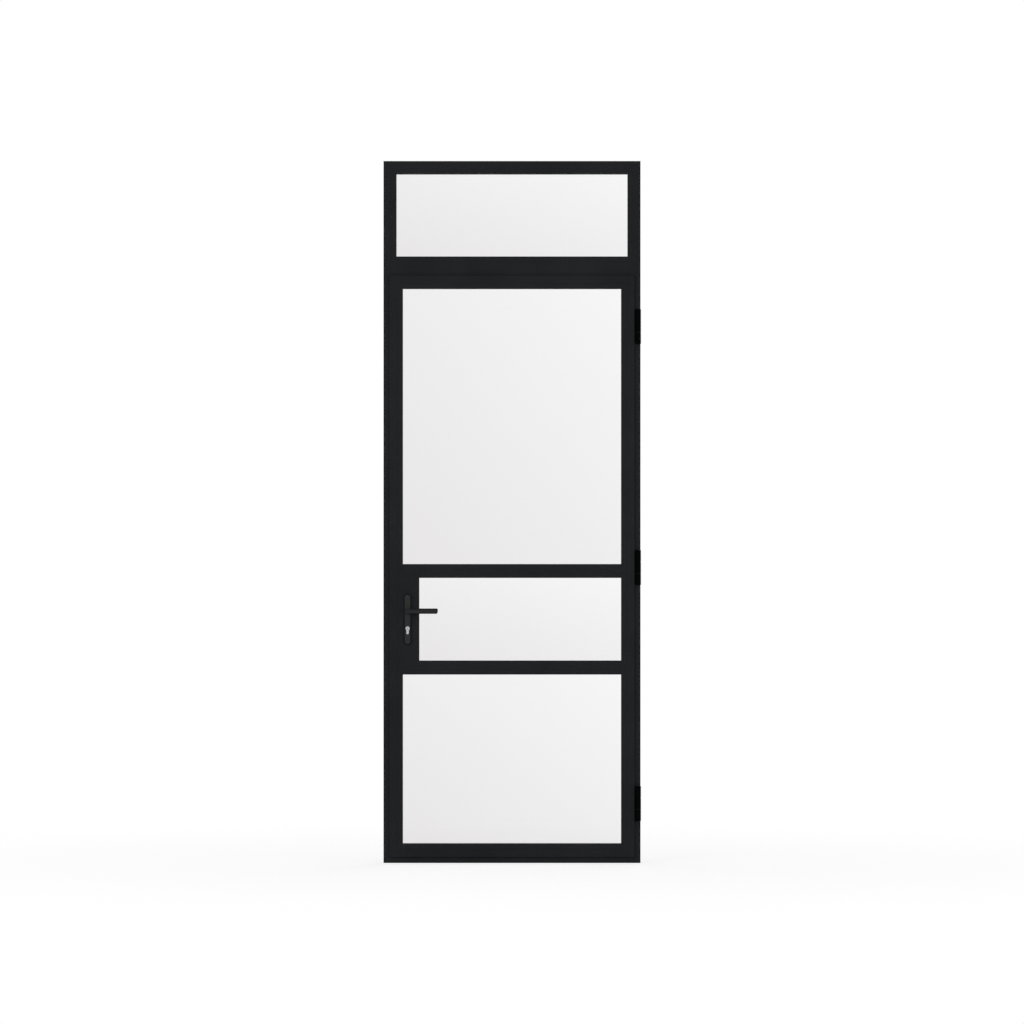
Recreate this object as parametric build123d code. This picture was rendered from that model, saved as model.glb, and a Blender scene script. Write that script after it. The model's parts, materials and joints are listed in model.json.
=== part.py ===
"""Glazed aluminium door with a fixed toplight, hung in its own frame.

The frame is four mitred hollow profiles with a transom between doorway and toplight.
The leaf is a mitred sash with two mid rails and a lock post; it overlaps the frame on
the pull side and hangs on three barrel hinges. Every pane lies in a rebate between a
back lip with a gasket and a clipped-on square bead. All lengths are millimetres: +X to
the right seen from the pull side, +Y away from the viewer, +Z up, and the origin is
the middle of the sill's underside.
"""
from build123d import *
import os

# Overall size of the frame
WIDTH = 1080.0
HEIGHT = 2950.0
DEPTH = 52.0  # front to back, the same for frame and leaf profiles

# Hollow profiles, measured across their visible face
WALL = 2.0
EDGE_ROUND = 0.8  # visible long edges of the profiles
FRAME_BASE = 32.0  # jambs, head and sill without their lip
TRANSOM_BASE = 65.0
LEAF_BASE = 22.5  # stiles, top rail and bottom rail without their lips
RAIL_BASE = 14.0  # mid rails without their lips
REBATE = 22.0  # height of a glazing lip, and of the bead opposite

# Leaf in frame
LEAF_GAP = 4.5  # air between the frame's rebate and the leaf's edge
LEAF_OVERLAP = 7.0  # how far the leaf's lip covers the frame
SEAL_GAP = 0.3  # left open at the stop and overlap gaskets

# Visible heights of the panes that are set; the upper pane takes the rest
LOWER_SIGHT = 711.0
MIDDLE_SIGHT = 348.0
TOPLIGHT_SIGHT = 347.0

# Gaskets and the grooves that hold them
GROOVE_DEPTH = 3.0
GROOVE_RIB = 1.5
GROOVE_SLOT = 3.5
GASKET = 4.0  # thickness of the body that stands above the groove
GASKET_BEVEL = 1.2
FOOT_CLEAR = 0.2

# Glazing
GLASS = 8.0
GLASS_EDGE = 6.0  # from the glass edge to the rebate floor
BEAD_WALL = 1.5
BEAD_FOOT = 9.0
BEAD_LEG = 10.0
BEAD_MITRE_GAP = 0.1  # cut off each end, so that the mitres just clear
SETTING_BLOCK = 100.0
BLOCK_INSET = 90.0
BLOCK_SIDE = 2.0  # how much wider than the glass a setting block is

# Corner cleats and rail connectors inside the profiles
CLEAT_LEG = 70.0  # reach of a cleat past the inner corner of its chamber
CLEAT_CLEAR = 0.2
CLEAT_WALL = 5.0
CONNECTOR = 55.0

# Wall fixings through the jambs, in pairs about mid height
FIXING_INSET = 130.0  # from the outermost holes to the frame's top and bottom
FIXING_SPREAD_SHARES = (1.0, 0.6, 0.2)
FIXING_RADIUS = 4.0
FIXING_ACCESS = 6.5

# Hinges
HINGE_RADIUS = 12.0
HINGE_LENGTH = 146.0
HINGE_LOWER_Z = 250.5
HINGE_MIDDLE_Z = 1242.0
HINGE_TOP_DROP = 215.0  # from the leaf's top edge to the upper hinge's middle
HINGE_BESIDE_LEAF = 2.7  # from the leaf's lip to the barrel
HINGE_OFF_FRAME = 0.4  # from the frame's face to the barrel
HINGE_END_BEVEL = 1.2
KNUCKLE_GAP = 1.2
PIN_RADIUS = 6.0
PIN_CLEAR = 0.05
BUSH_WALL = 2.0
BUSH_FLANGE_RADIUS = 11.0
STUD_RADIUS = 4.0  # threaded stud of a frame knuckle
HINGE_FOOT = 16.0
HINGE_STRAP = 4.0
HINGE_STRAP_CLEAR = 1.0  # from the frame's face to the strap
HINGE_FLANGE_CLEAR = 1.5  # from the leaf flange to the frame's rebate
HINGE_FLANGE_DEPTH = 38.0
HINGE_NOTCH_CLEAR = 2.0
BACKING = 5.0  # plate behind the frame's wall that the studs screw into

# Countersunk screws of the hinges, strike and lock
SCREW_RADIUS = 2.5
SCREW_HEAD_RADIUS = 4.6
SCREW_HEAD = 2.6
SCREW_CLEAR = 0.1
SCREW_GRIP = 8.0  # reach past the piece that the head sits in
SOCKET_RADIUS_SHARE = 0.5  # hexagon socket, of the head's radius
SOCKET_DEPTH_SHARE = 0.6  # of the head's height
FLANGE_SCREW_SPREAD_SHARE = 0.66
FLANGE_SCREW_PLACE_SHARE = 0.6

# Mortice lock
BACKSET = 65.0
LOCK_CENTRES = 72.0  # from the spindle down to the cylinder
CASE_ABOVE = 45.0
CASE_BELOW = 41.0
CASE_BEHIND = 23.5
CASE_DEPTH = 15.0
CASE_WALL = 1.5
CASE_CLEAR = 0.4
POST_SPARE = 1.0  # from the case's back to the lock post's wall
FACEPLATE = 3.0
FACEPLATE_WIDTH = 20.0
FACEPLATE_END = 38.5
FACEPLATE_SCREW_INSET = 9.0
BOLT_CLEAR = 0.4  # round the latch and the deadbolt in the faceplate
BOLT_SIDE = 0.2  # from either of them to the case's walls
LATCH_THROW = 12.0
LATCH_HEIGHT = 30.0
LATCH_RISE = 10.0  # from the spindle up to the latch's middle
LATCH_NOSE = 3.0
LATCH_BODY = 30.0
LATCH_TAIL = 4.0
LATCH_HOOK = 4.5
HOOK_CLEAR = 0.5
FOLLOWER_RADIUS = 12.0
FOLLOWER_BOSS = 9.0
FOLLOWER_SIDE = 0.3
ARM_REACH = 16.5
ARM_WIDTH = 6.0
ARM_CLEAR = 1.0
BOLT_HEIGHT = 30.0
BOLT_BODY = 32.0
BOLT_INSET = 0.5  # withdrawn bolt behind the faceplate's face
BOLT_TAIL_HEIGHT = 10.0
BOLT_OVER_CAM = 3.0
STRIKE = 2.0
STRIKE_WIDTH = 24.0
STRIKE_CLEAR = 1.5  # round the latch and the bolt
STRIKE_WALL_CLEAR = 1.0  # jamb cut-out round the strike's openings

# Profile cylinder
CYLINDER_RADIUS = 8.5
CYLINDER_LEG = 10.0
CYLINDER_HEIGHT = 33.0
CYLINDER_PROUD = 2.0  # past the handle plates
CYLINDER_CLEAR = 0.3
PLUG_RADIUS = 6.4
PLUG_CLEAR = 0.1
KEYWAY_WIDTH = 2.4
KEYWAY_HEIGHT = 9.0
KEYWAY_STEP = 0.9  # sideways, at half height
KEYWAY_DEPTH = 22.0
CAM_RADIUS = 8.0
CAM_REACH = 15.0
CAM_NOSE = 6.0
CAM_WIDTH = 9.4
CAM_SIDE = 0.2
CAM_OVER_BRIDGE = 0.6
CYLINDER_SCREW_DROP = 20.0

# Lever handles on their long plates
PLATE_WIDTH = 35.0
PLATE_THICK = 8.0
PLATE_RIM = 3.0
PLATE_TAPER_DEGREES = 52.0
PLATE_SCREW_MARGIN = 7.0  # from the lock case to the through screws
PLATE_END = 23.0
PLATE_BORE_CLEAR = 0.3
PLATE_SCREW_RADIUS = 2.2
PLATE_HEAD_RADIUS = 4.0
PLATE_HEAD = 2.2
SPINDLE = 8.0
SPINDLE_CLEAR = 0.1
SPINDLE_INTO_LEVER = 22.0
LEVER_LENGTH = 125.5
LEVER_HEIGHT = 20.0
LEVER_THICK = 12.0
LEVER_STAND = 34.0  # from the plate to the grip
LEVER_TIP_RADIUS = 5.0
LEVER_FRONT_ROUND = 4.0
LEVER_BACK_BEVEL = 0.8
NECK_STEP = 1.0  # grip's half height less the neck's radius
NECK_SEAT = 1.0  # from the leaf's face to the neck's end

OVERRUN = 10.0  # how far cutters pass through what they cut

# Depth places
FRAME_FRONT = -DEPTH / 2
LIP_RISE = WALL + GROOVE_DEPTH
LEAF_PROUD = LIP_RISE + GASKET + SEAL_GAP
LEAF_FRONT = FRAME_FRONT - LEAF_PROUD
LEAF_BACK = LEAF_FRONT + DEPTH
BEAD_DEPTH = DEPTH - LIP_RISE - GASKET - GLASS - GASKET
GASKET_WIDTH = GROOVE_RIB + GROOVE_SLOT + GROOVE_RIB

# Places across the width, measured in from the frame's outer edge
LEFT = -WIDTH / 2
RIGHT = WIDTH / 2
LEAF_INSET = FRAME_BASE - LEAF_OVERLAP
LEAF_LIP = LEAF_OVERLAP + LEAF_GAP
LEAF_EDGE = FRAME_BASE + LEAF_GAP
LEAF_FLOOR = LEAF_EDGE + LEAF_BASE
POST_BASE = BACKSET + CASE_BEHIND + POST_SPARE + WALL - LEAF_BASE

# Heights
LOWER_RAIL_Z = LEAF_FLOOR + REBATE + LOWER_SIGHT + REBATE
LOWER_RAIL_TOP = LOWER_RAIL_Z + RAIL_BASE
UPPER_RAIL_Z = LOWER_RAIL_TOP + REBATE + MIDDLE_SIGHT + REBATE
UPPER_RAIL_TOP = UPPER_RAIL_Z + RAIL_BASE
TRANSOM_TOP = HEIGHT - FRAME_BASE - REBATE - TOPLIGHT_SIGHT - REBATE
TRANSOM_Z = TRANSOM_TOP - TRANSOM_BASE
LEAF_TOP = TRANSOM_Z + LEAF_OVERLAP
LEAF_TOP_FLOOR = TRANSOM_Z - LEAF_GAP - LEAF_BASE

# Outlines that profiles run round: left, right, bottom, top and front
FRAME_OUTLINE = (LEFT, RIGHT, 0, HEIGHT, FRAME_FRONT)
LEAF_OUTLINE = (LEFT + LEAF_INSET, RIGHT - LEAF_INSET, LEAF_INSET, LEAF_TOP, LEAF_FRONT)
DOORWAY = (LEFT + FRAME_BASE, RIGHT - FRAME_BASE, FRAME_BASE, TRANSOM_Z, FRAME_FRONT)
STILE_FLOORS = (LEFT + LEAF_FLOOR, RIGHT - LEAF_FLOOR)
POST_FLOOR = LEFT + LEAF_FLOOR + POST_BASE
PANES = {
    "toplight": (DOORWAY[0], DOORWAY[1], TRANSOM_TOP, HEIGHT - FRAME_BASE, FRAME_FRONT),
    "upper": (*STILE_FLOORS, UPPER_RAIL_TOP, LEAF_TOP_FLOOR, LEAF_FRONT),
    "middle": (POST_FLOOR, STILE_FLOORS[1], LOWER_RAIL_TOP, UPPER_RAIL_Z, LEAF_FRONT),
    "lower": (*STILE_FLOORS, LEAF_FLOOR, LOWER_RAIL_Z, LEAF_FRONT),
}
SIDES = ("left", "top", "right", "bottom")

# Hinge axis and heights
HINGE_X = RIGHT - LEAF_INSET + HINGE_BESIDE_LEAF + HINGE_RADIUS
HINGE_Y = FRAME_FRONT - HINGE_OFF_FRAME - HINGE_RADIUS
HINGE_HEIGHTS = {
    "lower": HINGE_LOWER_Z,
    "middle": HINGE_MIDDLE_Z,
    "upper": LEAF_TOP - HINGE_TOP_DROP,
}
HINGE_EDGE_X = RIGHT - LEAF_EDGE
KNUCKLE = (HINGE_LENGTH - 2 * KNUCKLE_GAP) / 3
STRAP_FRONT = FRAME_FRONT - HINGE_STRAP_CLEAR - HINGE_STRAP
STRAP_BACK = STRAP_FRONT + HINGE_STRAP
HINGE_FLANGE = LEAF_GAP - HINGE_FLANGE_CLEAR
FLANGE_SCREW_HEAD = min(SCREW_HEAD, HINGE_FLANGE)
BUSH_RADIUS = PIN_RADIUS + PIN_CLEAR + BUSH_WALL

# Lock places
LOCK_EDGE_X = LEFT + LEAF_EDGE
LOCK_X = LOCK_EDGE_X + BACKSET
LOCK_Y = LEAF_FRONT + DEPTH / 2
LOCK_Z = (LOWER_RAIL_TOP + UPPER_RAIL_Z) / 2
CASE_HEIGHT = CASE_ABOVE + LOCK_CENTRES + CASE_BELOW
CASE_Z = LOCK_Z - CASE_HEIGHT / 2
CYLINDER_Z = CASE_Z + CASE_BELOW
SPINDLE_Z = CYLINDER_Z + LOCK_CENTRES
CASE_TOP = CASE_Z + CASE_HEIGHT
CASE_FRONT_X = LOCK_EDGE_X + FACEPLATE
CASE_BACK_X = LOCK_X + CASE_BEHIND
CASE_HALF = CASE_DEPTH / 2
FACEPLATE_HEIGHT = CASE_HEIGHT + 2 * FACEPLATE_END
LATCH_Z = SPINDLE_Z + LATCH_RISE - LATCH_HEIGHT / 2
BOLT_Z = CYLINDER_Z + CAM_REACH + BOLT_OVER_CAM
BOLT_THICK = CASE_DEPTH - 2 * (CASE_WALL + BOLT_SIDE)
LATCH_OPENING = (BOLT_THICK, LATCH_Z, LATCH_Z + LATCH_HEIGHT)
BOLT_OPENING = (BOLT_THICK, BOLT_Z, BOLT_Z + BOLT_HEIGHT)
PLATE_SCREW_OFFSET = CASE_HEIGHT / 2 + PLATE_SCREW_MARGIN
PLATE_HEIGHT = 2 * (PLATE_SCREW_OFFSET + PLATE_END)
NECK_RADIUS = LEVER_HEIGHT / 2 - NECK_STEP
PLATE_SCREW_HEIGHTS = (LOCK_Z - PLATE_SCREW_OFFSET, LOCK_Z + PLATE_SCREW_OFFSET)

LOW_CORNER = (Align.MIN, Align.MIN, Align.MIN)
ON_BASE = (Align.CENTER, Align.CENTER, Align.MIN)


def rect(u0, u1, v0, v1):
    """Rectangle of a section: u across the profile's face, v through its depth."""
    size = (abs(u1 - u0), abs(v1 - v0))
    return Pos(min(u0, u1), min(v0, v1)) * Rectangle(*size, align=LOW_CORNER[:2])


def block(x0, x1, y0, y1, z0, z1):
    """Box between two corners."""
    size = (abs(x1 - x0), abs(y1 - y0), abs(z1 - z0))
    return Pos(min(x0, x1), min(y0, y1), min(z0, z1)) * Box(*size, align=LOW_CORNER)


def rod(start, direction, radius, length):
    """Round bar from a point along a direction."""
    return Plane(start, z_dir=direction) * Cylinder(radius, length, align=ON_BASE)


def countersunk(start, direction, length, radius, head):
    """Outer form of a screw whose head's top is at a point, for screws and their seats."""
    head_radius, head_height = head
    place = Plane(start, z_dir=direction)
    cone = Cone(head_radius, radius, head_height, align=ON_BASE)
    return place * (cone + Cylinder(radius, length, align=ON_BASE))


def screw(start, direction, length, radius=SCREW_RADIUS, head=(SCREW_HEAD_RADIUS, SCREW_HEAD)):
    """Countersunk screw with a hexagon socket."""
    head_radius, head_height = head
    hexagon = Plane(start, z_dir=direction) * RegularPolygon(head_radius * SOCKET_RADIUS_SHARE, 6)
    socket = extrude(hexagon, head_height * SOCKET_DEPTH_SHARE)
    return countersunk(start, direction, length, radius, head) - socket


def side_plane(side, outline):
    """Plane and length of one side: X inward, Y through the depth, Z along the run."""
    x0, x1, z0, z1, front = outline
    if side == "left":
        return Plane((x0, front, z0), x_dir=(1, 0, 0), z_dir=(0, 0, 1)), z1 - z0
    if side == "top":
        return Plane((x0, front, z1), x_dir=(0, 0, -1), z_dir=(1, 0, 0)), x1 - x0
    if side == "right":
        return Plane((x1, front, z1), x_dir=(-1, 0, 0), z_dir=(0, 0, -1)), z1 - z0
    return Plane((x1, front, z0), x_dir=(0, 0, 1), z_dir=(-1, 0, 0)), x1 - x0


def mitred_bar(section, side, outline, gap=0):
    """One side of a rectangle of profiles, cut at 45 degrees and short by a gap at both ends."""
    plane, length = side_plane(side, outline)
    bar = extrude(plane * section, length)
    reach = section.bounding_box().max.X + OVERRUN
    low = ((-OVERRUN, gap - OVERRUN), (reach, gap + reach))
    high = ((reach, length - gap - reach), (-OVERRUN, length - gap + OVERRUN))
    wedge = Polygon(*low, *high)
    across = Plane(plane.origin, x_dir=plane.x_dir, z_dir=-plane.y_dir)
    return bar & extrude(across * wedge, DEPTH + OVERRUN, both=True)


def mitred_ring(section, outline):
    """Four mitred sides joined into one closed ring."""
    bars = [mitred_bar(section, side, outline) for side in SIDES]
    return bars[0] + bars[1:]


# Sections of the profiles


def eased(section, *corners):
    """Section with its long edges rounded at the given corners."""
    points = section.vertices()
    return fillet([points.sort_by_distance((*corner, 0))[0] for corner in corners], EDGE_ROUND)


def tube(u0, u1):
    """Hollow chamber over the full depth."""
    inside = rect(u0 + WALL, u1 - WALL, WALL, DEPTH - WALL)
    return rect(u0, u1, 0, DEPTH) - inside


def groove_ribs(tip, step, root, top):
    """Two ribs that hold a gasket's foot, from a lip's tip towards its root."""
    ribs = [rect(start, start + step * GROOVE_RIB, root, top)
            for start in (tip, tip + step * (GROOVE_RIB + GROOVE_SLOT))]
    return ribs[0] + ribs[1]


def back_lip(floor, step):
    """Lip behind a pane or the leaf, standing up from the rebate floor."""
    tip = floor + step * REBATE
    lip = rect(floor, tip, DEPTH - WALL, DEPTH)
    return lip + groove_ribs(tip, -step, DEPTH - LIP_RISE, DEPTH - WALL)


def frame_section():
    section = tube(0, FRAME_BASE) + back_lip(FRAME_BASE, 1)
    return eased(section, (0, 0), (FRAME_BASE, 0), (0, DEPTH), (FRAME_BASE + REBATE, DEPTH))


def leaf_section():
    floor = LEAF_LIP + LEAF_BASE
    overlap = rect(0, LEAF_LIP, 0, WALL) + groove_ribs(0, 1, WALL, LIP_RISE)
    section = overlap + tube(LEAF_LIP, floor) + back_lip(floor, 1)
    return eased(section, (0, 0), (floor, 0), (LEAF_LIP, DEPTH), (floor + REBATE, DEPTH))


def rail_section(base):
    section = back_lip(0, -1) + tube(0, base) + back_lip(base, 1)
    return eased(section, (0, 0), (base, 0), (-REBATE, DEPTH), (base + REBATE, DEPTH))


def post_section():
    """Lock post: stepped at the back to pass in front of the stile's lip."""
    step_u = REBATE + SEAL_GAP
    step_v = DEPTH - LIP_RISE - SEAL_GAP
    outside = rect(0, POST_BASE, 0, step_v) + rect(step_u, POST_BASE, 0, DEPTH)
    inside = rect(WALL, POST_BASE - WALL, WALL, step_v - WALL)
    inside += rect(step_u + WALL, POST_BASE - WALL, WALL, DEPTH - WALL)
    section = outside - inside + back_lip(POST_BASE, 1)
    return eased(section, (POST_BASE, 0), (POST_BASE + REBATE, DEPTH))


def lip_gasket_section():
    """Gasket on a back lip, measured from the rebate floor."""
    seat = DEPTH - LIP_RISE
    body = rect(REBATE - GASKET_WIDTH, REBATE, seat - GASKET, seat)
    sight = body.vertices().group_by(Axis.Y)[0].sort_by(Axis.X)[-1]
    body = chamfer(sight, GASKET_BEVEL)
    edge = REBATE - GROOVE_RIB - FOOT_CLEAR
    foot = rect(edge, REBATE - GROOVE_RIB - GROOVE_SLOT + FOOT_CLEAR, seat, seat + GROOVE_DEPTH)
    return body + foot


def overlap_gasket_section():
    """Gasket under the leaf's overlapping lip, measured from the lip's edge."""
    body = rect(0, GASKET_WIDTH, LIP_RISE, LIP_RISE + GASKET)
    foot = rect(GROOVE_RIB + FOOT_CLEAR, GROOVE_RIB + GROOVE_SLOT - FOOT_CLEAR, WALL, LIP_RISE)
    return body + foot


def bead_section():
    """Square clip-on bead: front wall, sight wall, a foot and a leg behind the gasket."""
    front = rect(0, REBATE, 0, BEAD_WALL)
    sight = rect(REBATE - BEAD_WALL, REBATE, 0, BEAD_DEPTH)
    foot = rect(0, BEAD_WALL, 0, BEAD_FOOT)
    leg = rect(REBATE - BEAD_LEG, REBATE, BEAD_DEPTH - BEAD_WALL, BEAD_DEPTH)
    return eased(front + sight + foot + leg, (REBATE, 0))


# Frame


def fixing_holes(edge_x, inward):
    """Wall fixings of one jamb, with wider access holes in its inner wall."""
    holes = []
    for share in FIXING_SPREAD_SHARES:
        for end in (-1, 1):
            z = HEIGHT / 2 + end * share * (HEIGHT / 2 - FIXING_INSET)
            start = (edge_x - inward * OVERRUN, 0, z)
            holes.append(rod(start, (inward, 0, 0), FIXING_RADIUS, FRAME_BASE))
            start = (edge_x + inward * FRAME_BASE / 2, 0, z)
            holes.append(rod(start, (inward, 0, 0), FIXING_ACCESS, FRAME_BASE))
    return holes


def bolt_hole(x0, x1, opening, clearance):
    """Opening for the latch or the deadbolt through a wall."""
    thick, z0, z1 = opening
    half = thick / 2 + clearance
    return block(x0, x1, LOCK_Y - half, LOCK_Y + half, z0 - clearance, z1 + clearance)


def edge_screw_heights():
    """Screws at the two ends of the faceplate and of the strike plate."""
    reach = FACEPLATE_HEIGHT / 2 - FACEPLATE_SCREW_INSET
    return (LOCK_Z - reach, LOCK_Z + reach)


def jamb_lock_side():
    jamb = mitred_bar(frame_section(), "left", FRAME_OUTLINE)
    face = DOORWAY[0]
    clearance = STRIKE_CLEAR + STRIKE_WALL_CLEAR
    cuts = fixing_holes(LEFT, 1)
    for opening in (LATCH_OPENING, BOLT_OPENING):
        cuts.append(bolt_hole(face - OVERRUN, face + OVERRUN, opening, clearance))
    for z in edge_screw_heights():
        start = (face - OVERRUN, LOCK_Y, z)
        cuts.append(rod(start, (1, 0, 0), SCREW_RADIUS + SCREW_CLEAR, OVERRUN))
    return jamb - cuts


def stud_hole(middle, way, start, depth):
    """Clear hole for the stud of the lower (-1) or upper (1) frame knuckle of a hinge."""
    z = middle + way * (KNUCKLE + KNUCKLE_GAP)
    return rod((HINGE_X, start, z), (0, 1, 0), STUD_RADIUS + SCREW_CLEAR, depth)


def jamb_hinge_side():
    jamb = mitred_bar(frame_section(), "right", FRAME_OUTLINE)
    cuts = fixing_holes(RIGHT, -1)
    for middle in HINGE_HEIGHTS.values():
        cuts += [stud_hole(middle, way, FRAME_FRONT - WALL, WALL + OVERRUN) for way in (-1, 1)]
    return jamb - cuts


def across(section, x0, x1, top, front):
    """Straight horizontal profile whose section starts at its top."""
    return extrude(Plane((x0, front, top), x_dir=(0, 0, -1), z_dir=(1, 0, 0)) * section, x1 - x0)


def lip_zone(x0, x1, z0, z1, front):
    """Space that the back lip and gasket ribs of a crossing profile take."""
    back = front + DEPTH
    return block(x0, x1, back - LIP_RISE, back + OVERRUN, z0, z1)


def coped(bar, floors, front):
    """Horizontal bar cut round the lips of the uprights at its two ends."""
    x0, x1 = floors
    left = lip_zone(x0 - OVERRUN, x0 + REBATE, 0, HEIGHT, front)
    right = lip_zone(x1 - REBATE, x1 + OVERRUN, 0, HEIGHT, front)
    return bar - [left, right]


def transom():
    bar = across(rail_section(TRANSOM_BASE), DOORWAY[0], DOORWAY[1], TRANSOM_TOP, FRAME_FRONT)
    return coped(bar, DOORWAY[:2], FRAME_FRONT)


def corner_cleats(outline, base_start, base):
    """Angle cleats in the mitred corners, filling the profile's chamber."""
    x0, x1, z0, z1, front = outline
    near = base_start + WALL + CLEAT_CLEAR
    far = base_start + base - WALL - CLEAT_CLEAR
    end = far + CLEAT_LEG
    face = Polygon((near, near), (end, near), (end, far), (far, far), (far, end), (near, end))
    half = DEPTH / 2 - WALL - CLEAT_CLEAR
    core = extrude(offset(face, -CLEAT_WALL), half + OVERRUN, both=True)
    angle = extrude(face, half, both=True) - core
    cleats = []
    for x, x_way in ((x0, 1), (x1, -1)):
        for z, z_way in ((z0, 1), (z1, -1)):
            corner = Plane((x, front + DEPTH / 2, z), x_dir=(x_way, 0, 0), z_dir=(0, -x_way * z_way, 0))
            cleats.append(corner * angle)
    return cleats


def rail_connectors(floors, rails, front):
    """Blocks in the ends of horizontal bars, which screw to the uprights."""
    shrink = WALL + CLEAT_CLEAR
    pieces = []
    for bottom, base in rails:
        z0, z1 = bottom + shrink, bottom + base - shrink
        y0, y1 = front + shrink, front + DEPTH - LIP_RISE - shrink
        for x, way in ((floors[0], 1), (floors[1], -1)):
            pieces.append(block(x, x + way * CONNECTOR, y0, y1, z0, z1))
    return pieces


# Leaf


def faceplate_outline(width, height, clearance=0):
    """Round-ended plate in the leaf's edge, seen from the side."""
    grow = 2 * clearance
    return SlotOverall(height + grow, width + grow, rotation=90)


def edge_plate(x, outline, thick):
    """Upright plate facing sideways, centred on the lock."""
    plane = Plane((x, LOCK_Y, LOCK_Z), x_dir=(0, 1, 0), z_dir=(1, 0, 0))
    return extrude(plane * outline, thick)


def case_slot(x0, x1):
    """Clear way for the lock case through the walls beside it."""
    half = CASE_HALF + CASE_CLEAR
    return block(x0, x1, LOCK_Y - half, LOCK_Y + half, CASE_Z - CASE_CLEAR, CASE_TOP + CASE_CLEAR)


def stile_lock_side():
    stile = mitred_bar(leaf_section(), "left", LEAF_OUTLINE)
    outline = faceplate_outline(FACEPLATE_WIDTH, FACEPLATE_HEIGHT, SCREW_CLEAR)
    recess = edge_plate(LOCK_EDGE_X - OVERRUN, outline, OVERRUN + FACEPLATE)
    return stile - [recess, case_slot(LOCK_EDGE_X, STILE_FLOORS[0] + OVERRUN)]


def hinge_notch(middle):
    """Gap in the overlap gasket and its ribs where a hinge's strap passes."""
    half = KNUCKLE / 2 + HINGE_NOTCH_CLEAR
    front = LEAF_FRONT + WALL
    x1 = HINGE_EDGE_X + LEAF_LIP + OVERRUN
    return block(HINGE_EDGE_X, x1, front, FRAME_FRONT, middle - half, middle + half)


def flange_screw_places(middle):
    """Two screws down the leaf flange of a hinge."""
    half = KNUCKLE * FLANGE_SCREW_SPREAD_SHARE / 2
    y = STRAP_FRONT + HINGE_FLANGE_DEPTH * FLANGE_SCREW_PLACE_SHARE
    return [(HINGE_EDGE_X + HINGE_FLANGE, y, middle + way * half) for way in (-1, 1)]


def stile_hinge_side():
    stile = mitred_bar(leaf_section(), "right", LEAF_OUTLINE)
    cuts = []
    for middle in HINGE_HEIGHTS.values():
        cuts.append(hinge_notch(middle))
        for place in flange_screw_places(middle):
            cuts.append(rod(place, (-1, 0, 0), SCREW_RADIUS + SCREW_CLEAR, HINGE_FLANGE + OVERRUN))
    return stile - cuts


def mid_rail(top):
    bar = across(rail_section(RAIL_BASE), *STILE_FLOORS, top, LEAF_FRONT)
    return coped(bar, STILE_FLOORS, LEAF_FRONT)


def cylinder_outline(clearance=0):
    """Round head with a straight leg below, about the cylinder's axis."""
    leg_radius = CYLINDER_LEG / 2
    leg_end = CYLINDER_HEIGHT - CYLINDER_RADIUS - leg_radius
    half = leg_radius + clearance
    leg = rect(-half, half, -leg_end, 0) + Pos(0, -leg_end) * Circle(half)
    return Circle(CYLINDER_RADIUS + clearance) + leg


def through(outline, x, z, y0, y1):
    """Shape run along the depth between two places."""
    plane = Plane((x, y0, z), x_dir=(-1, 0, 0), z_dir=(0, 1, 0))
    return extrude(plane * outline, y1 - y0)


def lock_post():
    plane = Plane((STILE_FLOORS[0], LEAF_FRONT, LOWER_RAIL_TOP), x_dir=(1, 0, 0), z_dir=(0, 0, 1))
    post = extrude(plane * post_section(), UPPER_RAIL_Z - LOWER_RAIL_TOP)
    x0, x1 = STILE_FLOORS
    y0, y1 = LEAF_FRONT - OVERRUN, LEAF_BACK + OVERRUN
    cuts = [
        lip_zone(x0, x1, LOWER_RAIL_TOP - OVERRUN, LOWER_RAIL_TOP + REBATE, LEAF_FRONT),
        lip_zone(x0, x1, UPPER_RAIL_Z - REBATE, UPPER_RAIL_Z + OVERRUN, LEAF_FRONT),
        case_slot(x0 - OVERRUN, x0 + OVERRUN),
        through(cylinder_outline(CYLINDER_CLEAR), LOCK_X, CYLINDER_Z, y0, y1),
        through(Circle(NECK_RADIUS + PLATE_BORE_CLEAR), LOCK_X, SPINDLE_Z, y0, y1),
    ]
    for z in PLATE_SCREW_HEIGHTS:
        cuts.append(through(Circle(PLATE_SCREW_RADIUS + SCREW_CLEAR), LOCK_X, z, y0, y1))
    return post - cuts


# Glazing


def glass(outline):
    x0, x1, z0, z1, front = outline
    y0 = front + BEAD_DEPTH + GASKET
    return block(x0 + GLASS_EDGE, x1 - GLASS_EDGE, y0, y0 + GLASS, z0 + GLASS_EDGE, z1 - GLASS_EDGE)


def beads(outline):
    return [mitred_bar(bead_section(), side, outline, BEAD_MITRE_GAP) for side in SIDES]


def glazing_gaskets(outline, profiles):
    """Ring on the back lips, trimmed where an upright runs on, and ring behind the beads."""
    back = mitred_ring(lip_gasket_section(), outline) - profiles
    seat = rect(REBATE - GASKET_WIDTH, REBATE, BEAD_DEPTH, BEAD_DEPTH + GASKET)
    return [mitred_ring(seat, outline), back]


def setting_blocks(outline):
    """Two blocks under a pane."""
    x0, x1, z0, _, front = outline
    y0 = front + BEAD_DEPTH + GASKET - BLOCK_SIDE / 2
    y1 = y0 + GLASS + BLOCK_SIDE
    starts = (x0 + BLOCK_INSET, x1 - BLOCK_INSET - SETTING_BLOCK)
    return [block(x, x + SETTING_BLOCK, y0, y1, z0, z0 + GLASS_EDGE) for x in starts]


# Hinges


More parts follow.
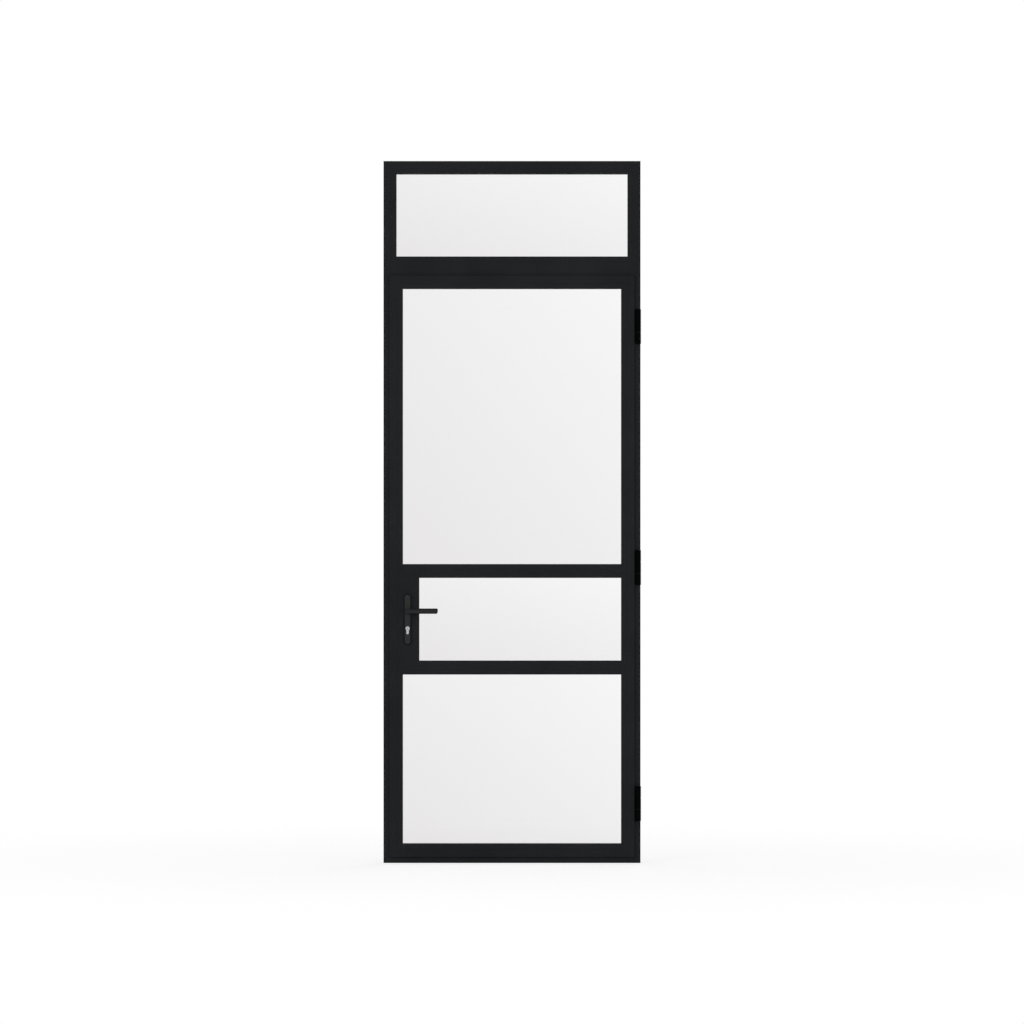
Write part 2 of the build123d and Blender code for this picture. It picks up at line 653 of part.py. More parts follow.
def hinge_frame_knuckles(middle):
    """Upper and lower barrel, each with a foot on the frame's face and a threaded stud."""
    pieces = []
    for way in (-1, 1):
        inner = middle + way * (KNUCKLE / 2 + KNUCKLE_GAP)
        outer = inner + way * KNUCKLE
        z0 = min(inner, outer)
        barrel = rod((HINGE_X, HINGE_Y, z0), (0, 0, 1), HINGE_RADIUS, KNUCKLE)
        end = barrel.edges().filter_by(GeomType.CIRCLE).sort_by(Axis.Z)[-1 if way > 0 else 0]
        barrel = chamfer(end, HINGE_END_BEVEL)
        half = HINGE_FOOT / 2
        foot_z = sorted((inner, outer - way * HINGE_END_BEVEL))
        foot = block(HINGE_X - half, HINGE_X + half, HINGE_Y, FRAME_FRONT, *foot_z)
        stud_start = (HINGE_X, FRAME_FRONT, (inner + outer) / 2)
        stud = rod(stud_start, (0, 1, 0), STUD_RADIUS, WALL + BACKING)
        bore = rod((HINGE_X, HINGE_Y, z0 - OVERRUN), (0, 0, 1), PIN_RADIUS, KNUCKLE + 2 * OVERRUN)
        pieces.append(barrel + foot + stud - bore)
    return pieces


def hinge_leaf_knuckle(middle):
    """Middle barrel with a cranked wing that screws to the leaf's edge."""
    z0, z1 = middle - KNUCKLE / 2, middle + KNUCKLE / 2
    barrel = rod((HINGE_X, HINGE_Y, z0), (0, 0, 1), HINGE_RADIUS, KNUCKLE)
    strap = block(HINGE_EDGE_X, HINGE_X, STRAP_FRONT, STRAP_BACK, z0, z1)
    flange_back = STRAP_FRONT + HINGE_FLANGE_DEPTH
    flange = block(HINGE_EDGE_X, HINGE_EDGE_X + HINGE_FLANGE, STRAP_FRONT, flange_back, z0, z1)
    cuts = [rod((HINGE_X, HINGE_Y, z0 - OVERRUN), (0, 0, 1), BUSH_RADIUS, KNUCKLE + 2 * OVERRUN)]
    for place in flange_screw_places(middle):
        head = (SCREW_HEAD_RADIUS + SCREW_CLEAR, FLANGE_SCREW_HEAD)
        length = HINGE_FLANGE + OVERRUN
        cuts.append(countersunk(place, (-1, 0, 0), length, SCREW_RADIUS + SCREW_CLEAR, head))
    return barrel + strap + flange - cuts


def hinge_pin(middle):
    start = (HINGE_X, HINGE_Y, middle - HINGE_LENGTH / 2)
    return rod(start, (0, 0, 1), PIN_RADIUS, HINGE_LENGTH)


def hinge_bushes():
    """Sleeve in each leaf knuckle, with the flange that carries the leaf on the lower knuckle."""
    length = KNUCKLE + KNUCKLE_GAP
    bushes = []
    for middle in HINGE_HEIGHTS.values():
        start = (HINGE_X, HINGE_Y, middle - KNUCKLE / 2 - KNUCKLE_GAP)
        flange = rod(start, (0, 0, 1), BUSH_FLANGE_RADIUS, KNUCKLE_GAP)
        sleeve = rod(start, (0, 0, 1), BUSH_RADIUS, length)
        bushes.append(flange + sleeve - rod(start, (0, 0, 1), PIN_RADIUS + PIN_CLEAR, length))
    return bushes


def hinge_backing_plates():
    """Threaded plates inside the jamb behind the hinges."""
    half = HINGE_FOOT / 2
    y0 = FRAME_FRONT + WALL
    plates = []
    for middle in HINGE_HEIGHTS.values():
        z0, z1 = middle - HINGE_LENGTH / 2, middle + HINGE_LENGTH / 2
        plate = block(HINGE_X - half, HINGE_X + half, y0, y0 + BACKING, z0, z1)
        plates.append(plate - [stud_hole(middle, way, y0, BACKING) for way in (-1, 1)])
    return plates


def strike_screws():
    """Screws of the strike plate."""
    screws = []
    for z in edge_screw_heights():
        start = (DOORWAY[0] + STRIKE, LOCK_Y, z)
        screws.append(screw(start, (-1, 0, 0), STRIKE + SCREW_GRIP, head=(SCREW_HEAD_RADIUS, STRIKE)))
    return screws


def leaf_fitting_screws():
    """Screws of the hinges' leaf flanges and of the lock's faceplate."""
    screws = []
    for middle in HINGE_HEIGHTS.values():
        for place in flange_screw_places(middle):
            head = (SCREW_HEAD_RADIUS, FLANGE_SCREW_HEAD)
            screws.append(screw(place, (-1, 0, 0), HINGE_FLANGE + SCREW_GRIP, head=head))
    for z in edge_screw_heights():
        screws.append(screw((LOCK_EDGE_X, LOCK_Y, z), (1, 0, 0), FACEPLATE + SCREW_GRIP))
    return screws


# Lock


def screw_seat(x, z, way, thick):
    """Countersunk hole through a plate in the leaf's edge or the jamb."""
    head = (SCREW_HEAD_RADIUS + SCREW_CLEAR, min(SCREW_HEAD, thick))
    radius = SCREW_RADIUS + SCREW_CLEAR
    return countersunk((x, LOCK_Y, z), (way, 0, 0), thick + OVERRUN, radius, head)


def lock_faceplate():
    plate = edge_plate(LOCK_EDGE_X, faceplate_outline(FACEPLATE_WIDTH, FACEPLATE_HEIGHT), FACEPLATE)
    cuts = []
    for opening in (LATCH_OPENING, BOLT_OPENING):
        cuts.append(bolt_hole(LOCK_EDGE_X - OVERRUN, CASE_FRONT_X + OVERRUN, opening, BOLT_CLEAR))
    for z in edge_screw_heights():
        cuts.append(screw_seat(LOCK_EDGE_X, z, 1, FACEPLATE))
    cuts.append(screw_seat(LOCK_EDGE_X, CYLINDER_Z - CYLINDER_SCREW_DROP, 1, FACEPLATE))
    return plate - cuts


def strike_plate():
    x = DOORWAY[0]
    plate = edge_plate(x, faceplate_outline(STRIKE_WIDTH, FACEPLATE_HEIGHT), STRIKE)
    cuts = []
    for opening in (LATCH_OPENING, BOLT_OPENING):
        cuts.append(bolt_hole(x - OVERRUN, x + OVERRUN, opening, STRIKE_CLEAR))
    for z in edge_screw_heights():
        cuts.append(screw_seat(x + STRIKE, z, -1, STRIKE))
    return plate - cuts


def lock_case():
    """Pressed case, open to the faceplate, with the bores for spindle and cylinder."""
    y0, y1 = LOCK_Y - CASE_HALF, LOCK_Y + CASE_HALF
    shell = block(CASE_FRONT_X, CASE_BACK_X, y0, y1, CASE_Z, CASE_TOP)
    inside = block(CASE_FRONT_X - OVERRUN, CASE_BACK_X - CASE_WALL, y0 + CASE_WALL, y1 - CASE_WALL,
                   CASE_Z + CASE_WALL, CASE_TOP - CASE_WALL)
    ways = (y0 - OVERRUN, y1 + OVERRUN)
    hub = through(Circle(FOLLOWER_BOSS + FOLLOWER_SIDE), LOCK_X, SPINDLE_Z, *ways)
    cylinder = through(cylinder_outline(CYLINDER_CLEAR), LOCK_X, CYLINDER_Z, *ways)
    return shell - [inside, hub, cylinder]


def latch_bolt():
    """Latch with its closing slope away from the viewer, tail and hook over the follower."""
    half = BOLT_THICK / 2
    tip = LOCK_EDGE_X - LATCH_THROW
    back = LOCK_EDGE_X + LATCH_BODY
    head = Polygon((tip, -half), (back, -half), (back, half), (LOCK_EDGE_X, half), (tip, LATCH_NOSE - half))
    body = extrude(Pos(0, LOCK_Y, LATCH_Z) * head, LATCH_HEIGHT)
    hook_x = LOCK_X + ARM_WIDTH / 2 + HOOK_CLEAR
    tail_z = SPINDLE_Z + ARM_REACH + ARM_CLEAR
    y0, y1 = LOCK_Y - LATCH_TAIL / 2, LOCK_Y + LATCH_TAIL / 2
    tail = block(back, hook_x + LATCH_HOOK, y0, y1, tail_z, LATCH_Z + LATCH_HEIGHT)
    hook = block(hook_x, hook_x + LATCH_HOOK, y0, y1, SPINDLE_Z + FOLLOWER_RADIUS + ARM_CLEAR, tail_z)
    return body + tail + hook


def deadbolt():
    """Square bolt, drawn back, with a tail that the cam drives."""
    front = LOCK_EDGE_X + BOLT_INSET
    half = BOLT_THICK / 2
    head = block(front, front + BOLT_BODY, LOCK_Y - half, LOCK_Y + half, BOLT_Z, BOLT_Z + BOLT_HEIGHT)
    half = LATCH_TAIL / 2
    end = LOCK_X + CAM_NOSE
    return head + block(front, end, LOCK_Y - half, LOCK_Y + half, BOLT_Z, BOLT_Z + BOLT_TAIL_HEIGHT)


def lock_follower():
    """Hub that the spindle turns, with an arm that draws the latch."""
    half = CASE_HALF - CASE_WALL - FOLLOWER_SIDE
    disc = through(Circle(FOLLOWER_RADIUS), LOCK_X, SPINDLE_Z, LOCK_Y - half, LOCK_Y + half)
    ways = (LOCK_Y - CASE_HALF, LOCK_Y + CASE_HALF)
    boss = through(Circle(FOLLOWER_BOSS), LOCK_X, SPINDLE_Z, *ways)
    side = ARM_WIDTH / 2
    arm = block(LOCK_X - side, LOCK_X + side, LOCK_Y - half, LOCK_Y + half, SPINDLE_Z, SPINDLE_Z + ARM_REACH)
    size = SPINDLE + SPINDLE_CLEAR
    bore = through(Rectangle(size, size), LOCK_X, SPINDLE_Z, ways[0] - OVERRUN, ways[1] + OVERRUN)
    return disc + boss + arm - bore


# Profile cylinder


def cylinder_ends():
    """Front and back face of the cylinder, proud of the handle plates."""
    proud = PLATE_THICK + CYLINDER_PROUD
    return (LEAF_FRONT - proud, LEAF_BACK + proud)


def cam_gap():
    half = CAM_WIDTH / 2 + CAM_SIDE
    return (LOCK_Y - half, LOCK_Y + half)


def cylinder_body():
    """Profile body, cut through for the cam down to the bridge that takes the screw."""
    y0, y1 = cylinder_ends()
    body = through(cylinder_outline(), LOCK_X, CYLINDER_Z, y0, y1)
    bore = through(Circle(PLUG_RADIUS + PLUG_CLEAR), LOCK_X, CYLINDER_Z, y0 - OVERRUN, y1 + OVERRUN)
    reach = CAM_REACH + CAM_OVER_BRIDGE
    slot = block(LOCK_X - reach, LOCK_X + reach, *cam_gap(), CYLINDER_Z - reach, CYLINDER_Z + reach)
    start = (LOCK_X - CYLINDER_LEG, LOCK_Y, CYLINDER_Z - CYLINDER_SCREW_DROP)
    thread = rod(start, (1, 0, 0), SCREW_RADIUS + SCREW_CLEAR, 2 * CYLINDER_LEG)
    return body - [bore, slot, thread]


def cylinder_plug(way):
    """Turning plug with a keyway, on the front (-1) or the back (1)."""
    face = cylinder_ends()[0 if way < 0 else 1]
    inner = cam_gap()[0 if way < 0 else 1]
    plug = through(Circle(PLUG_RADIUS), LOCK_X, CYLINDER_Z, *sorted((face, inner)))
    half = KEYWAY_WIDTH / 2
    bottom = -PLUG_RADIUS - PLUG_CLEAR
    middle = bottom + KEYWAY_HEIGHT / 2
    keyway = rect(-half, half, bottom, middle)
    keyway += rect(KEYWAY_STEP - half, KEYWAY_STEP + half, middle, bottom + KEYWAY_HEIGHT)
    ends = sorted((face + way * OVERRUN, face - way * KEYWAY_DEPTH))
    return plug - through(keyway, LOCK_X, CYLINDER_Z, *ends)


def cylinder_cam():
    """Cam between the plugs, with its nose down."""
    y0, y1 = LOCK_Y - CAM_WIDTH / 2, LOCK_Y + CAM_WIDTH / 2
    ring = through(Circle(CAM_RADIUS), LOCK_X, CYLINDER_Z, y0, y1)
    half = CAM_NOSE / 2
    nose = block(LOCK_X - half, LOCK_X + half, y0, y1, CYLINDER_Z - CAM_REACH, CYLINDER_Z)
    return ring + (nose & through(Circle(CAM_REACH), LOCK_X, CYLINDER_Z, y0, y1))


def cylinder_screw():
    start = (LOCK_EDGE_X, LOCK_Y, CYLINDER_Z - CYLINDER_SCREW_DROP)
    return screw(start, (1, 0, 0), BACKSET + CYLINDER_LEG / 2)


# Handles


def face_plane(way, z, stand=0):
    """Plane on the leaf's front (-1) or back (1) at the lock, facing outwards."""
    y = (LEAF_FRONT if way < 0 else LEAF_BACK) + way * stand
    return Plane((LOCK_X, y, z), x_dir=(-way, 0, 0), z_dir=(0, way, 0))


def handle_plate(way):
    """Round-ended plate with a bevelled border, bored for neck, cylinder and screws."""
    outline = SlotOverall(PLATE_HEIGHT, PLATE_WIDTH, rotation=90)
    rim = extrude(face_plane(way, LOCK_Z) * outline, PLATE_RIM)
    crown = extrude(face_plane(way, LOCK_Z, PLATE_RIM) * outline, PLATE_THICK - PLATE_RIM,
                    taper=PLATE_TAPER_DEGREES)
    y0, y1 = LEAF_FRONT - PLATE_THICK - OVERRUN, LEAF_BACK + PLATE_THICK + OVERRUN
    cuts = [
        through(Circle(NECK_RADIUS + PLATE_BORE_CLEAR), LOCK_X, SPINDLE_Z, y0, y1),
        through(cylinder_outline(CYLINDER_CLEAR), LOCK_X, CYLINDER_Z, y0, y1),
    ]
    for z in PLATE_SCREW_HEIGHTS:
        if way < 0:
            head = (PLATE_HEAD_RADIUS + SCREW_CLEAR, PLATE_HEAD)
            start = face_plane(way, z, PLATE_THICK).origin
            cuts.append(countersunk(start, (0, 1, 0), DEPTH, PLATE_SCREW_RADIUS + SCREW_CLEAR, head))
        else:
            start = (LOCK_X, LEAF_BACK - OVERRUN, z)
            cuts.append(rod(start, (0, 1, 0), PLATE_SCREW_RADIUS + SCREW_CLEAR, OVERRUN + PLATE_RIM))
    return rim + crown - cuts


def handle_plate_screws():
    """Through screws from the front plate into the threaded back plate."""
    length = PLATE_THICK + DEPTH + PLATE_RIM
    head = (PLATE_HEAD_RADIUS, PLATE_HEAD)
    return [screw(face_plane(-1, z, PLATE_THICK).origin, (0, 1, 0), length, PLATE_SCREW_RADIUS, head)
            for z in PLATE_SCREW_HEIGHTS]


def lever(way):
    """Straight lever: round neck, flat grip with a rounded tip, square bore."""
    half = LEVER_HEIGHT / 2
    tip = -way * LEVER_LENGTH
    grip = Circle(half) + rect(0, tip, -half, half)
    corners = grip.vertices().sort_by(lambda v: abs(v.X))[-2:]
    grip = fillet(corners, LEVER_TIP_RADIUS)
    stand = PLATE_THICK + LEVER_STAND
    bar = extrude(face_plane(way, SPINDLE_Z, stand) * grip, LEVER_THICK)
    front = bar.faces().sort_by(Axis.Y)[0 if way < 0 else -1]
    bar = fillet(front.edges(), LEVER_FRONT_ROUND)
    back = bar.faces().sort_by(Axis.Y)[-1 if way < 0 else 0]
    bar = chamfer(back.edges(), LEVER_BACK_BEVEL)
    neck = extrude(face_plane(way, SPINDLE_Z, NECK_SEAT) * Circle(NECK_RADIUS), stand - NECK_SEAT)
    size = SPINDLE + SPINDLE_CLEAR
    depth = PLATE_THICK + SPINDLE_INTO_LEVER + SPINDLE_CLEAR
    bore = extrude(face_plane(way, SPINDLE_Z) * Rectangle(size, size), depth)
    return bar + neck - bore


def spindle():
    reach = PLATE_THICK + SPINDLE_INTO_LEVER
    return through(Rectangle(SPINDLE, SPINDLE), LOCK_X, SPINDLE_Z, LEAF_FRONT - reach, LEAF_BACK + reach)


def build():
    """All pieces by name; a list holds separate like pieces."""
    stiles = [stile_lock_side(), stile_hinge_side()]
    rails = [mid_rail(LOWER_RAIL_TOP), mid_rail(UPPER_RAIL_TOP)]
    jambs = [jamb_lock_side(), jamb_hinge_side()]
    post = lock_post()
    notches = [hinge_notch(middle) for middle in HINGE_HEIGHTS.values()]
    leaf_rails = ((LOWER_RAIL_Z, RAIL_BASE), (UPPER_RAIL_Z, RAIL_BASE))
    pieces = {
        "jamb_lock_side": jambs[0],
        "jamb_hinge_side": jambs[1],
        "frame_head": mitred_bar(frame_section(), "top", FRAME_OUTLINE),
        "frame_sill": mitred_bar(frame_section(), "bottom", FRAME_OUTLINE),
        "transom": transom(),
        "frame_cleats": corner_cleats(FRAME_OUTLINE, 0, FRAME_BASE)
        + rail_connectors(DOORWAY[:2], ((TRANSOM_Z, TRANSOM_BASE),), FRAME_FRONT),
        "stile_lock_side": stiles[0],
        "stile_hinge_side": stiles[1],
        "leaf_top_rail": mitred_bar(leaf_section(), "top", LEAF_OUTLINE),
        "leaf_bottom_rail": mitred_bar(leaf_section(), "bottom", LEAF_OUTLINE),
        "mid_rail_lower": rails[0],
        "mid_rail_upper": rails[1],
        "lock_post": post,
        "leaf_cleats": corner_cleats(LEAF_OUTLINE, LEAF_LIP, LEAF_BASE)
        + rail_connectors(STILE_FLOORS, leaf_rails, LEAF_FRONT),
        "stop_gasket": mitred_ring(lip_gasket_section(), DOORWAY) - jambs,
        "overlap_gasket": mitred_ring(overlap_gasket_section(), LEAF_OUTLINE) - notches,
        "toplight_setting_blocks": setting_blocks(PANES["toplight"]),
        "leaf_setting_blocks": [piece for pane in ("upper", "middle", "lower")
                                for piece in setting_blocks(PANES[pane])],
    }
    crossing = {"toplight": jambs, "upper": stiles, "middle": [stiles[1], *rails], "lower": stiles}
    for pane, outline in PANES.items():
        pieces[f"{pane}_glass"] = glass(outline)
        pieces[f"{pane}_beads"] = beads(outline)
        pieces[f"{pane}_gaskets"] = glazing_gaskets(outline, crossing[pane])
    for place, middle in HINGE_HEIGHTS.items():
        pieces[f"hinge_{place}_frame_knuckles"] = hinge_frame_knuckles(middle)
        pieces[f"hinge_{place}_leaf_knuckle"] = hinge_leaf_knuckle(middle)
        pieces[f"hinge_{place}_pin"] = hinge_pin(middle)
    pieces["hinge_bushes"] = hinge_bushes()
    pieces["hinge_backing_plates"] = hinge_backing_plates()
    pieces["strike_screws"] = strike_screws()
    pieces["leaf_fitting_screws"] = leaf_fitting_screws()
    pieces["strike_plate"] = strike_plate()
    pieces["lock_faceplate"] = lock_faceplate()
    pieces["lock_case"] = lock_case()
    pieces["latch_bolt"] = latch_bolt()
    pieces["deadbolt"] = deadbolt()
    pieces["lock_follower"] = lock_follower()
    pieces["cylinder_body"] = cylinder_body()
    pieces["cylinder_cam"] = cylinder_cam()
    pieces["cylinder_screw"] = cylinder_screw()
    for place, way in (("front", -1), ("rear", 1)):
        pieces[f"cylinder_plug_{place}"] = cylinder_plug(way)
        pieces[f"handle_plate_{place}"] = handle_plate(way)
        pieces[f"lever_{place}"] = lever(way)
    pieces["handle_plate_screws"] = handle_plate_screws()
    pieces["spindle"] = spindle()
    return pieces


os.makedirs("parts", exist_ok=True)
for name, piece in build().items():
    shape = Compound(children=list(piece)) if isinstance(piece, list) else piece
    export_step(shape, os.path.join("parts", f"{name}.step"))
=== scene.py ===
"""Looks of the glazed aluminium door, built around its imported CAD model.

The CAD nodes are shown as they are. This script gives each material slot of the record a
procedural finish, and a few nodes a finish of their own, and adds the stage, the lights and
the camera of the photograph, a straight front view from far away. Lengths are metres in the
CAD frame, and colours are linear.
"""
import json
import math

import bpy
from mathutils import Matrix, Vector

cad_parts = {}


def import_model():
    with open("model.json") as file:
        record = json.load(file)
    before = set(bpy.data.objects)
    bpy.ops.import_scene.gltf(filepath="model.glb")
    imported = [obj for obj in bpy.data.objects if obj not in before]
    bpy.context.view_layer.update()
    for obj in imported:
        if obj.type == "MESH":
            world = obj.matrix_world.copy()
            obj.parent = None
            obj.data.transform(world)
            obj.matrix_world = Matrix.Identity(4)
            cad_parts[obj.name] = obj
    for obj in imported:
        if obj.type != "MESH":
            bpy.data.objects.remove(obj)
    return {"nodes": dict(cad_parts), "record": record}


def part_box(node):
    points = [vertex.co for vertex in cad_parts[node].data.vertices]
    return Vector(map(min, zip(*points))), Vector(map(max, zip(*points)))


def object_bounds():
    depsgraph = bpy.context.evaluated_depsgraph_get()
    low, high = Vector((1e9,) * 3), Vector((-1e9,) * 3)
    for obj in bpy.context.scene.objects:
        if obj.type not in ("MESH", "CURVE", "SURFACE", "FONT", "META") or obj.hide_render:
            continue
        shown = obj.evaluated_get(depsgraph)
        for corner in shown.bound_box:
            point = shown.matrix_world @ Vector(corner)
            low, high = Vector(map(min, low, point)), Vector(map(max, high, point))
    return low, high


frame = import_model()
cad_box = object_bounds()

# Photograph
DOOR_SHARE_OF_PHOTO = 0.6855  # the frame's height over the picture's height
LENS_MM = 200.0
SENSOR_MM = 36.0
CLIP_SHARE = 4.0  # how far the camera sees, over its distance from the door

# Ranges and detail of noise textures; a scale is in noise cells per metre
UNIT = (0.0, 1.0)
NOISE_BAND = (0.3, 0.7)  # where nearly all of a noise lies
FEW_OCTAVES, SOME_OCTAVES, MORE_OCTAVES = 1.0, 2.0, 3.0
FINE_GRAIN = 900.0  # of lacquer, rubber and nylon
FINE_RELIEF = 0.0001

# Edges
EDGE_RADIUS = 0.0005
EDGE_SAMPLES = 6
EDGE_COSINE = (0.8, 0.985)  # between the rounded and the plain normal, from edge to face

# Powder coat
COAT = (0.0159, 0.0170, 0.0191)
COAT_SHARES = (0.66, 1.34)  # darkest and palest tone, over the coat's colour
COAT_BURNISHED = (0.034, 0.035, 0.037)
COAT_WEAR = (0.1, 0.6)  # how burnished the edges are, by the grain
COAT_GRAIN = 900.0
COAT_GRAIN_BAND = (0.38, 0.62)
COAT_GRAIN_TONE = (0.0, 0.7)
COAT_MOTTLE = 5.0
COAT_MOTTLE_BAND = (0.35, 0.65)
COAT_MOTTLE_TONE = (0.0, 0.3)
COAT_SHINE = 0.08
COAT_ROUGHNESS = (0.50, 0.66)
COAT_BUMP = 1.0
COAT_RELIEF = 0.00025

# Brushing along Z, on the handles and the bare metals
BRUSH_ACROSS = 2600.0
BRUSH_ALONG = 25.0
BRUSH_STRETCH = (1.0, 1.0, BRUSH_ALONG / BRUSH_ACROSS)
BRUSH_RELIEF = 0.00005

# Handles
PLATE_FACE = (0.0345, 0.0356, 0.0367)
LEVER_FACE = (0.0238, 0.0246, 0.0254)
# painted shade on the borders that turn away from front and rear, also the dark of the brush marks
HANDLE_SHADE_AND_STREAK = (0.0034, 0.0034, 0.0039)
HANDLE_FLAT = (0.86, 0.998)  # how squarely a point looks to front or rear, from the painted shade of the border to the face
HANDLE_STREAK = (0.0, 0.25)  # how far brush marks darken a face
HANDLE_SHINE = 0.12
HANDLE_ROUGHNESS = (0.34, 0.5)
HANDLE_BUMP = 0.05

# Hinges
HINGE = (0.0008, 0.0009, 0.0011)
HINGE_EDGE_SHARE = 2.2  # lightest edge, over the faces
HINGE_SHINE = 0.02
HINGE_ROUGHNESS = (0.32, 0.46)
HINGE_BUMP = 0.08

# Bare metals
METALS = {  # slot: name, colour, roughness of dark and bright marks, bump
    "steel": ("zinc_steel", (0.56, 0.56, 0.55), (0.42, 0.28), 0.08),
    "nickel": ("satin_nickel", (0.55, 0.552, 0.56), (0.34, 0.2), 0.04),
    "mill_aluminium": ("mill_aluminium", (0.58, 0.585, 0.59), (0.52, 0.36), 0.12),
}
METAL_DARK_SHARE = 0.78  # dark marks over bright ones
METAL_BAND = (0.3, 0.6)

# Rubber and nylon
MATTES = {  # slot: name, colour, roughness, bump
    "gasket": ("black_rubber", (0.0045, 0.0045, 0.0048), (0.68, 0.80), 0.2),
    "nylon": ("black_nylon", (0.016, 0.016, 0.017), (0.42, 0.54), 0.06),
}
MATTE_PALE_SHARE = 1.5  # bloom over the plain colour
MATTE_BLOOM = 20.0
MATTE_BLOOM_BAND = (0.4, 0.7)
MATTE_SHINE = 0.15

# Glass
GLASS_DEEP = (0.795, 0.78, 0.787)  # lower left of each pane
GLASS_SHEEN_PALE = (0.92, 0.92, 0.92)  # upper right, paled by a painted sheen
GLASS_DIAGONAL = (0.0, 2.0)  # sum of width and height, each from 0 to 1
GLASS_IOR = 1.5
GLASS_WAVE = 2.2
GLASS_BUMP = 0.02
GLASS_RELIEF = 0.002

# Stage and lights
WHITE = (1.0, 1.0, 1.0)
WHITE_STRENGTH = 1.0  # at which a background shows white
FLOOR_PAINT = (0.9, 0.9, 0.9)
FLOOR_SIZE = 160.0
FLOOR_DROP = 0.0008
FLOOR_SHADOW = (0.45, 0.0)  # share of the floor's look that takes light and shadow, near and far
FLOOR_SHADOW_REACH = (0.6, 3.2)  # from the door, where the shadow starts and ends to fade
FLOOR_LIFT = 0.42  # brings the lit floor up to white
AMBIENT = 0.30
LAMPS = (  # name, place, size, watts
    ("key", (-3.8, -6.6, 3.4), 5.0, 170.0),
    ("fill", (5.4, -6.2, 1.7), 3.0, 105.0),
    ("back", (3.4, 6.6, 3.4), 5.0, 155.0),
    ("back_fill", (-5.4, 6.2, 1.7), 3.0, 95.0),
)

# Sockets of a Mix node on colours, whose names aren't unique
MIX_FACTOR, MIX_FIRST, MIX_SECOND, MIX_RESULT = 0, 6, 7, 2


# Node helpers


def add(tree, kind, inputs=None, **settings):
    """New node with its settings, and its inputs given as values or linked sockets."""
    node = tree.nodes.new(kind)
    for name, value in settings.items():
        setattr(node, name, value)
    for name, value in (inputs or {}).items():
        if isinstance(value, bpy.types.NodeSocket):
            tree.links.new(value, node.inputs[name])
        else:
            node.inputs[name].default_value = value
    return node


def math_node(tree, operation, *values, clamp=False):
    """Result of a Math node on numbers and sockets."""
    inputs = dict(enumerate(values))
    return add(tree, "ShaderNodeMath", inputs, operation=operation, use_clamp=clamp).outputs[0]


def scaled(colour, share):
    """Colour made darker or paler."""
    return tuple(share * channel for channel in colour)


def opaque(colour):
    """Colour with its alpha; a socket stays as it is."""
    return colour if isinstance(colour, bpy.types.NodeSocket) else (*colour, 1.0)


def colour_mix(tree, factor, first, second):
    """Colour between two colours."""
    inputs = {MIX_FACTOR: factor, MIX_FIRST: opaque(first), MIX_SECOND: opaque(second)}
    return add(tree, "ShaderNodeMix", inputs, data_type="RGBA").outputs[MIX_RESULT]


def shader_mix(tree, factor, first, second):
    """Shader between two shaders."""
    return add(tree, "ShaderNodeMixShader", {0: factor, 1: first, 2: second}).outputs[0]


def show(tree, shader, output="Material Output"):
    """Make a shader the one that is seen."""
    tree.links.new(shader, tree.nodes[output].inputs["Surface"])


def coordinates(tree, kind):
    """Texture coordinates of the piece."""
    return add(tree, "ShaderNodeTexCoord").outputs[kind]


def place(tree, stretch=(1.0, 1.0, 1.0)):
    """Place of a point in the CAD frame, scaled by axis."""
    inputs = {"Vector": coordinates(tree, "Object"), "Scale": stretch}
    return add(tree, "ShaderNodeMapping", inputs).outputs[0]


def split(tree, vector):
    """The X, Y and Z of a vector."""
    return add(tree, "ShaderNodeSeparateXYZ", {0: vector}).outputs


def noise(tree, vector, scale, octaves=SOME_OCTAVES):
    """Noise from 0 to 1."""
    inputs = {"Vector": vector, "Scale": scale, "Detail": octaves}
    return add(tree, "ShaderNodeTexNoise", inputs).outputs[0]


def spread(tree, value, band, target):
    """Number stretched from one range to another, and kept inside it."""
    inputs = {"Value": value, "From Min": band[0], "From Max": band[1],
              "To Min": target[0], "To Max": target[1]}
    return add(tree, "ShaderNodeMapRange", inputs).outputs[0]


def plain_normal(tree):
    """Normal of the mesh."""
    return add(tree, "ShaderNodeNewGeometry").outputs["Normal"]


def rounded(tree):
    """Normal that rounds a piece's edges."""
    return add(tree, "ShaderNodeBevel", {"Radius": EDGE_RADIUS}, samples=EDGE_SAMPLES).outputs[0]


def edge_mask(tree, soft):
    """1 along the edges that a soft normal rounds, and 0 on the faces."""
    normals = {0: soft, 1: plain_normal(tree)}
    cosine = add(tree, "ShaderNodeVectorMath", normals, operation="DOT_PRODUCT").outputs["Value"]
    return spread(tree, cosine, EDGE_COSINE, (1.0, 0.0))


def bump(tree, height, strength, relief, normal):
    """Normal with a height's relief on it."""
    inputs = {"Height": height, "Strength": strength, "Distance": relief, "Normal": normal}
    return add(tree, "ShaderNodeBump", inputs).outputs[0]


def new_material(name, **values):
    """Material with one Principled shader; values set its plain sockets."""
    material = bpy.data.materials.new(name)
    material.use_nodes = True
    shader = material.node_tree.nodes["Principled BSDF"]
    for socket, value in values.items():
        shader.inputs[socket.replace("_", " ")].default_value = value
    return material, material.node_tree, shader


def connect(tree, shader, **sockets):
    """Link sockets to the shader's inputs of those names."""
    for name, socket in sockets.items():
        tree.links.new(socket, shader.inputs[name.replace("_", " ")])


# Finishes


